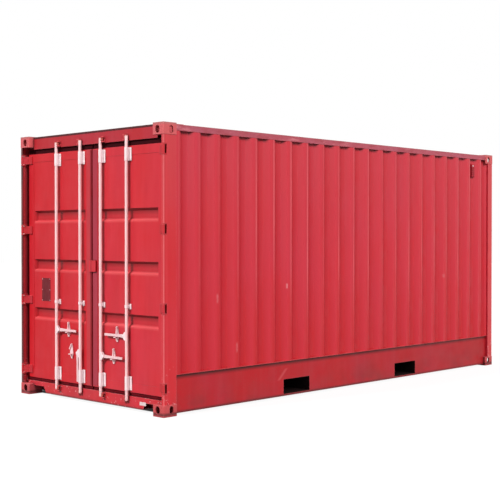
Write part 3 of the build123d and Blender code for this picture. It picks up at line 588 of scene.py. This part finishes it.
def zinc(name, base, ends=ROD_ENDS_Z):
    # Pale galvanised steel, mottled, with red overspray, worn red paint at the rods' two ends and a
    # little painted shade in corners
    t = Surface(name)
    mottle = t.span(t.noise(26.0, 4.0), 0.35, 0.65)
    colour = t.lay(base, tuple(c * 0.82 for c in base), 0.22, mottle)
    spray = t.span(t.noise(7.0, 4.0, t.stretch(4.0, 4.0, 0.6)), 0.55, 0.75)
    colour = t.lay(colour, "overspray", 0.30, spray)
    z = t.axis("Z")
    low, high = ends
    beyond = t.math("MAXIMUM", t.span(z, low, low - WORN_END), t.span(z, high, high + WORN_END))
    worn = t.mix(t.span(t.noise(30.0, 3.0), 0.40, 0.60), TINT["rod_red"], TINT["rod_rust"])
    colour = t.mix(beyond, colour, worn)
    # Painted shade in corners
    colour = t.lay(colour, "zinc_corner_shade", 0.25, t.nooks(ZINC_REACH))
    t.shader.inputs["Metallic"].default_value = 0.05
    relief = t.noise(45.0, 3.0)
    return t.complete(
        colour, grain=18.0, low=0.42, high=0.62, relief=relief, strength=0.25, depth=0.002)


def dull(name, base, other, scale, rough, bump=0.2, stretch=(1.0, 1.0, 1.0), shine=0.3, nook=0.0,
         top=None):
    # A plain matt surface with mottling, painted shade in corners where nook is set and from top
    # upwards
    t = Surface(name)
    blotch = t.span(t.noise(scale, 5.0, t.stretch(*stretch)), 0.35, 0.65)
    fine = t.span(t.noise(scale * 6, 4.0, t.stretch(*stretch)), 0.45, 0.7)
    colour = t.mix(blotch, base, other)
    colour = t.lay(colour, tuple(c * 0.6 for c in base), 0.4, fine)
    # Painted shade in corners
    if nook > 0:
        colour = t.lay(colour, "dull_corner_shade", 1.0, t.nooks(nook, 0.95, 0.25))
    # Painted shade on the rubber's top, under the header
    if top:
        colour = t.lay(colour, "seal_top_shade", 0.9, t.span(t.axis("Z"), *top))
    t.shader.inputs["Specular IOR Level"].default_value = shine
    relief, high = t.noise(scale * 5, 3.0), min(1.0, rough + 0.1)
    return t.complete(
        colour, grain=scale * 2, low=rough - 0.1, high=high, relief=relief, strength=bump, depth=0.003)


# Materials of the slots. The four numbers after a paint's colour are its pale edges (wear and painted
# highlight), its painted shade in corners, its dirt and its roughness, and the two after a dull
# surface's colours are its scale and roughness.
materials = {
    "casting_red": paint(
        "cast_paint", (0.57, 0.066, 0.070), 0.85, 0.60, 0.35, 0.52, radius=0.008),
    "frame_red": paint(
        "frame_paint", (0.63, 0.020, 0.029), 0.60, 0.80, 0.16, 0.42, radius=0.008,
        extra=frame_marks),
    "wall_red": paint(
        "wall_paint", (0.60, 0.018, 0.030), 0.0, 0.35, 0.12, 0.42, crest=True, extra=wall_marks),
    "door_red": paint(
        "door_paint", (0.64, 0.017, 0.027), 0.20, 0.70, 0.10, 0.42, radius=0.005,
        extra=door_marks),
    # The pink in the galvanised colour is partly a painted reflection of the red paint around it
    "zinc_steel": zinc("galvanised", (0.95, 0.79, 0.81)),
    "rubber_seal": dull(
        "rubber", (0.15, 0.007, 0.012), (0.09, 0.005, 0.009), 20.0, 0.8, shine=0.05, top=SEAL_TOP_Z),
    "plywood": dull(
        "ply", (0.36, 0.22, 0.12), (0.27, 0.16, 0.09), 3.0, 0.75, bump=0.25,
        stretch=(1.0, 9.0, 1.0)),
    "bare_steel": dull(
        "dark_steel", (0.050, 0.014, 0.013), (0.025, 0.009, 0.009), 7.0, 0.75, shine=0.1, nook=0.5),
    "dark_paint": dull("base_coat", (0.060, 0.018, 0.018), (0.030, 0.012, 0.012), 5.0, 0.75),
    "vent_dark": dull("vent_paint", (0.44, 0.022, 0.036), (0.30, 0.016, 0.026), 14.0, 0.6),
}

# Materials of single nodes, where they differ from their slot's
of_node = {
    "door_header": paint(
        "header_paint", (0.46, 0.014, 0.023), 0.30, 0.80, 0.30, 0.45, extra=header_marks),
    "top_side_rails": paint(
        "top_rail_paint", (0.47, 0.086, 0.118), 0.50, 0.50, 0.40, 0.5, extra=top_rail_marks),
    "bottom_side_rails": paint(
        "rail_paint", (0.47, 0.008, 0.014), 0.40, 0.80, 0.30, 0.45, extra=rail_marks),
    "hinge_lugs": paint("hinge_paint", (0.52, 0.020, 0.028), 0.30, 0.0, 0.20, 0.5),
    "corner_castings_top": paint(
        "cast_top_paint", (0.66, 0.105, 0.110), 0.85, 0.60, 0.35, 0.52, radius=0.008),
    # A paler copy of the frame paint without shade in corners: painted light on the rear posts
    "rear_posts": paint(
        "rear_post_paint", (0.67, 0.050, 0.056), 0.60, 0.0, 0.16, 0.42, radius=0.008,
        extra=rear_marks),
}
# The pink in these steels' colours is partly a painted reflection of the red paint around them
fitting = zinc("fitting_steel", (0.95, 0.74, 0.76), FITTING_ENDS_Z)
lever = zinc("lever_steel", (0.88, 0.57, 0.59))
rod = zinc("rod_steel", (0.98, 0.65, 0.66))
holder = zinc("holder_steel", (0.95, 0.66, 0.68))
for n in "1234":
    of_node["rod_fittings_" + n] = fitting
    of_node["lock_rod_" + n] = rod
    of_node["handle_" + n] = lever
    of_node["catch_" + n] = lever
for side in ("left", "right"):
    of_node["door_%s_hinges" % side] = of_node["hinge_lugs"]
    of_node["door_%s_holders" % side] = holder

# Materials of single pieces that are added here
seam_paint = paint("seam_paint", (0.40, 0.026, 0.048), 0.0, 0.5, 0.12, 0.5)
# Dark red on the seam lips and the left door's closing edge: painted shade along the seam
edge_paint = paint("edge_paint", (0.28, 0.003, 0.008), 0.0, 0.0, 0.05, 0.6)
# Dark red rubber lips: painted shade in the recesses beside the doors
lip_shade_paint = dull("lip_rubber", (0.26, 0.022, 0.025), (0.19, 0.017, 0.019), 9.0, 0.8, shine=0.1)
plate_paint = dull(
    "plate_paint", (0.180, 0.016, 0.023), (0.120, 0.012, 0.017), 9.0, 0.6, stretch=(1.0, 5.0, 0.6),
    shine=0.2)
mark_paint = dull("mark_paint", (0.86, 0.72, 0.72), (0.74, 0.55, 0.55), 30.0, 0.7)
drip_paint = dull("edge_dirt", (0.085, 0.007, 0.010), (0.05, 0.006, 0.008), 12.0, 0.7)

for name, obj in nodes.items():
    material = of_node.get(name, materials[slot_of[name]])
    if not obj.data.materials:
        obj.data.materials.append(material)
    for slot in obj.material_slots:
        slot.material = material


class Shape:
    # A mesh piece built from simple solids, every measure in mm
    def __init__(self):
        self.bm = bmesh.new()

    def hull(self, rings):
        # Rings of the same count of points joined by quads, closed at both ends
        rows = [[self.bm.verts.new([c / 1000 for c in p]) for p in ring] for ring in rings]
        n = len(rows[0])
        for a, b in zip(rows, rows[1:]):
            for i in range(n):
                self.bm.faces.new((a[i], a[(i + 1) % n], b[(i + 1) % n], b[i]))
        self.bm.faces.new(list(reversed(rows[0])))
        self.bm.faces.new(rows[-1])

    def bar(self, section, z0, z1):
        # An upright bar over a section of x, y points
        self.hull([[(x, y, z) for x, y in section] for z in (z0, z1)])

    def slab(self, x0, x1, y0, y1, z0, z1, soft=0.8):
        # A flat strip against an upright wall, with softened outer corners
        (x0, x1), (y0, y1), (z0, z1) = sorted((x0, x1)), sorted((y0, y1)), sorted((z0, z1))
        rings = []
        for z, k in ((z0, soft), (z0 + soft, 0.0), (z1 - soft, 0.0), (z1, soft)):
            rings.append([
                (x0 + k + soft, y0 + k, z), (x1 - k, y0 + k, z), (x1 - k, y1 - k, z),
                (x0 + k + soft, y1 - k, z), (x0 + k, y1 - k - soft, z), (x0 + k, y0 + k + soft, z),
            ])
        self.hull(rings)

    def head(self, centre, axis, way, kind):
        # A round head that stands out along one axis, way 1 or -1, with or without a dome
        r, length, sides, dome, tall = kind
        steps = [(0.0, 1.0), (1.0, 1.0)]
        if dome > 0:
            steps = [(0.0, 1.0)] + [(1.0 - dome * before, width) for before, width in DOME_RINGS]
        order = {"x": (2, 0, 1), "y": (0, 2, 1), "z": (0, 1, 2)}[axis]
        rings = []
        for along, width in steps:
            ring = []
            for i in range(sides):
                a = 2 * math.pi * i / sides
                uvw = (math.cos(a) * r * width, math.sin(a) * r * width * tall, along * length * way)
                ring.append([c + uvw[k] for c, k in zip(centre, order)])
            rings.append(ring)
        self.hull(rings)

    def bead(self, a, b, out, seed):
        # A weld bead from a to b: a half round line with a rippled skin, out is its outward direction
        rnd = random.Random(seed)
        a, b, out = Vector(a), Vector(b), Vector(out).normalized()
        along = b - a
        count = max(2, int(along.length / BEAD_STEP))
        side = along.normalized().cross(out)
        rings = []
        for i in range(count + 1):
            p = a + along * i / count
            r = BEAD_R * (0.85 + 0.3 * rnd.random())
            ring = []
            for j in range(BEAD_SIDES):
                t = math.pi * j / (BEAD_SIDES - 1)
                ring.append(p + side * (math.cos(t) * r) + out * (math.sin(t) * r * 0.8 - 0.4))
            rings.append(ring)
        self.hull(rings)

    def build(self, name, body, slot, material=None, smooth=False):
        bmesh.ops.recalc_face_normals(self.bm, faces=self.bm.faces[:])
        mesh = bpy.data.meshes.new(name)
        self.bm.to_mesh(mesh)
        self.bm.free()
        obj = bpy.data.objects.new(name, mesh)
        bpy.context.scene.collection.objects.link(obj)
        mesh.materials.append(material or materials[slot])
        if smooth:
            for p in mesh.polygons:
                p.use_smooth = True
        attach(obj, body)


# Bolts on the rod guides and rivets on the handle holders
for side, rods in (("left", (0, 1)), ("right", (2, 3))):
    bolts = Shape()
    for n in rods:
        for z0, z1 in GUIDE_Z:
            for y in (ROD_Y[n] - GUIDE_BOLT_Y, ROD_Y[n] + GUIDE_BOLT_Y):
                for z in (z0 + GUIDE_BOLT_IN, z1 - GUIDE_BOLT_IN):
                    bolts.head((BASE_X, y, z), "x", -1, GUIDE_BOLT)
        y = ROD_Y[n] + HANDLE_TO[n] * CATCH_OFF
        for dz in HOLDER_RIVETS:
            bolts.head((BASE_X, y, HANDLE_Z[n] + dz), "x", -1, HOLDER_RIVET)
    bolts.build("door_%s_bolts" % side, "door_" + side, "zinc_steel", smooth=True)

# Heads of the handles' pins, on both sides of each hub
for n in range(4):
    pins = Shape()
    y = ROD_Y[n] + HANDLE_TO[n] * PIVOT_OFF
    for s in (-1, 1):
        pins.head((ROD_X + s * HUB_HALF, y, HANDLE_Z[n]), "x", s, HUB_PIN)
    pins.build("hub_pins_%d" % (n + 1), "b_lock_rod_%d" % (n + 1), "zinc_steel", smooth=True)

# Weld beads where the hinge blades meet the doors
for side, s in (("left", 1), ("right", -1)):
    beads = Shape()
    for k, middle in enumerate(HINGE_Z):
        for z in (middle - BLADE_HALF, middle + BLADE_HALF):
            a, b = ((DOOR_WELD_X, s * y, z) for y in BLADE_Y)
            beads.bead(a, b, (-1, 0, 0), k)
        a, b = ((DOOR_WELD_X, s * BLADE_END_Y, middle + end * BLADE_END_HALF) for end in (-1, 1))
        beads.bead(a, b, (-1, 0, 0), k + 9)
    beads.build("door_%s_hinge_welds" % side, "door_" + side, "door_red", smooth=True)

# Rubber lips that cover the gaps beside each door and between the doors, dark red as painted shade
for side, s in (("left", 1), ("right", -1)):
    lips = Shape()
    (x0, x1), y0, y1 = LIP_X, s * DOOR_OUT, s * LIP_Y
    tip = (x1 - LIP_BEVEL, y1 + s * LIP_BEVEL)
    lips.bar([(x0, y0), (x1, y0), (x1, y1), tip, (x0, y1)], *LIP_Z)
    lips.build("door_%s_lips" % side, "door_" + side, "rubber_seal", lip_shade_paint)
    lips = Shape()
    (crown, outer_x, inner_x, back), y0, y1 = SEAM_LIP_X, s * DOOR_IN, s * SEAM_LIP_IN[side]
    section = [(outer_x, y0), (crown, (y0 + y1) / 2), (inner_x, y1), (back, y1), (back, y0)]
    lips.bar(section, DOOR_Z0, DOOR_Z1)
    lips.build("door_%s_seam_lip" % side, "door_" + side, "rubber_seal", edge_paint)

# Flat cover strips along the doors' closing edges, each in two lengths with the seam block between
seam_low, seam_high = SEAM_BLOCK_Z
strip = Shape()
for z0, z1 in ((STRIP_Z[0], seam_low), (seam_high, STRIP_Z[1])):
    strip.slab(*STRIP_X, *STRIP_Y, z0, z1)
strip.build("seam_strip", "door_right", "door_red", seam_paint)
# The dark red strip on the left door: painted shade along the seam
strip = Shape()
for z0, z1 in ((EDGE_Z[0], seam_low), (seam_high, EDGE_Z[1])):
    strip.slab(*EDGE_X, *EDGE_Y, z0, z1, 0.6)
strip.build("seam_edge", "door_left", "door_red", edge_paint)

# Bare worn plate with rivets on the left door
plate = Shape()
plate.slab(*PLATE_X, *PLATE_Y, *PLATE_Z)
plate.build("door_left_plate", "door_left", "bare_steel", plate_paint)
rivets = Shape()
for y in (PLATE_Y[0] + PLATE_RIVET_Y, PLATE_Y[1] - PLATE_RIVET_Y):
    for z in (PLATE_Z[0] + PLATE_RIVET_Z, sum(PLATE_Z) / 2, PLATE_Z[1] - PLATE_RIVET_Z):
        rivets.head((FACE_X + 1.4, y, z), "x", -1, PLATE_RIVET)
rivets.build("door_left_plate_rivets", "door_left", "zinc_steel", smooth=True)

# Weld beads along the edges of the castings, and two nubs above each bottom one of the door end
beads = Shape()
for s in (1, -1):
    (x0, x1), (x2, x3), (y0, y1) = NEAR_WELD_X, FAR_WELD_X, (s * y for y in NEAR_WELD_Y)
    for z in (CAST_Z, HEIGHT - CAST_Z):
        beads.bead((x0, y1, z), (x1, y1, z), (0, s, 0), 3)
        beads.bead((x0, y0, z), (x0, y1, z), (-1, 0, 0), 4)
        beads.bead((x2, y1, z), (x3, y1, z), (0, s, 0), 5)
    for x in NUB_X:
        beads.head((x, s * NUB_Y, NUB_Z), "y", s, CASTING_NUB)
beads.build("frame_welds", "frame", "frame_red", smooth=True)

# Drip edge on the header
edge = Shape()
edge.hull([[(x, y, z) for x, z in DRIP_XZ] for y in (-DRIP_Y, DRIP_Y)])
edge.build("header_drip_edge", "frame", "frame_red", drip_paint)

# Small bare mark on the sill
mark = Shape()
mark.slab(*MARK_X, *MARK_Y, *MARK_Z)
mark.build("sill_mark", "frame", "frame_red", mark_paint)

# Louvres and a bright screw on the vent covers
louvres = Shape()
screws = Shape()
for s in (1, -1):
    y = s * (CREST_Y - RIB_DEEP + VENT_DEEP)
    for k in range(LOUVRES):
        z = LOUVRE_Z - k * LOUVRE_STEP
        louvres.hull([[(x, y + s * dy, z + dz) for dy, dz in LOUVRE_YZ] for x in LOUVRE_X])
    screws.head((VENT_SCREW_X, y - s * 0.5, VENT_SCREW_Z), "y", s, VENT_SCREW)
louvres.build("vent_louvres", "frame", "vent_dark")
screws.build("vent_screws", "frame", "zinc_steel", lever, smooth=True)

# Screws in the floor boards, in rows over the cross members
screws = Shape()
for x in SCREW_ROWS:
    for k in range(-4, 5):
        screws.head((x + SCREW_OFF, k * SCREW_STEP, FLOOR_TOP - 0.5), "z", 1, FLOOR_SCREW)
screws.build("floor_screws", "frame", "bare_steel")

# Ground: white to the camera, with the object's shadow, and a painted shadow under the base
floor_mesh = bpy.data.meshes.new("ground")
bm = bmesh.new()
turns = [2 * math.pi * i / GROUND_SIDES for i in range(GROUND_SIDES)]
bm.faces.new([bm.verts.new((math.cos(a) * GROUND_R, math.sin(a) * GROUND_R, 0.0)) for a in turns])
bm.to_mesh(floor_mesh)
bm.free()
ground = bpy.data.objects.new("ground", floor_mesh)
bpy.context.scene.collection.objects.link(ground)
t = Tree(bpy.data.materials.new("ground_white"))
y = t.axis("Y")
# Glow fades out under the base: a painted shadow
open_x = t.span(t.math("ABSOLUTE", t.axis("X")), *GROUND_X)
open_y = t.math("MAXIMUM", t.span(y, *GROUND_NEAR_Y), t.span(y, *GROUND_FAR_Y))
clear = t.span(t.math("MAXIMUM", open_x, open_y), 0.0, 1.0, *GROUND_GLOW)
diffuse = t.add("ShaderNodeBsdfDiffuse", {"Color": GROUND_GREY})
glow = t.add("ShaderNodeEmission", {"Color": WHITE, "Strength": t.math("MULTIPLY", t.seen(), clear)})
both = t.add("ShaderNodeAddShader", {0: diffuse.outputs[0], 1: glow.outputs[0]})
t.put(both.outputs[0], t.surface)
floor_mesh.materials.append(t.owner)

# Sky: white to the camera and in reflections, a low even level for the light that it gives
world = bpy.data.worlds.new("sky")
bpy.context.scene.world = world
t = Tree(world, "ShaderNodeOutputWorld", "Generated")
lift = t.span(t.axis("Z"), *SKY_UP, *SKY_LEVEL)
light = t.add("ShaderNodeBackground", {"Color": SKY, "Strength": lift})
white = t.add("ShaderNodeBackground", {"Color": WHITE, "Strength": 1.0})
blend = t.add("ShaderNodeMixShader", {0: t.seen(), 1: light.outputs[0], 2: white.outputs[0]})
t.put(blend.outputs[0], t.surface)

# The lamps, as suns that shine along their travel
for name, energy, angle, travel in LAMPS:
    data = bpy.data.lights.new(name, "SUN")
    data.energy = energy
    data.angle = math.radians(angle)
    lamp = bpy.data.objects.new(name, data)
    lamp.rotation_euler = Vector(travel).to_track_quat("-Z", "Y").to_euler()
    bpy.context.scene.collection.objects.link(lamp)
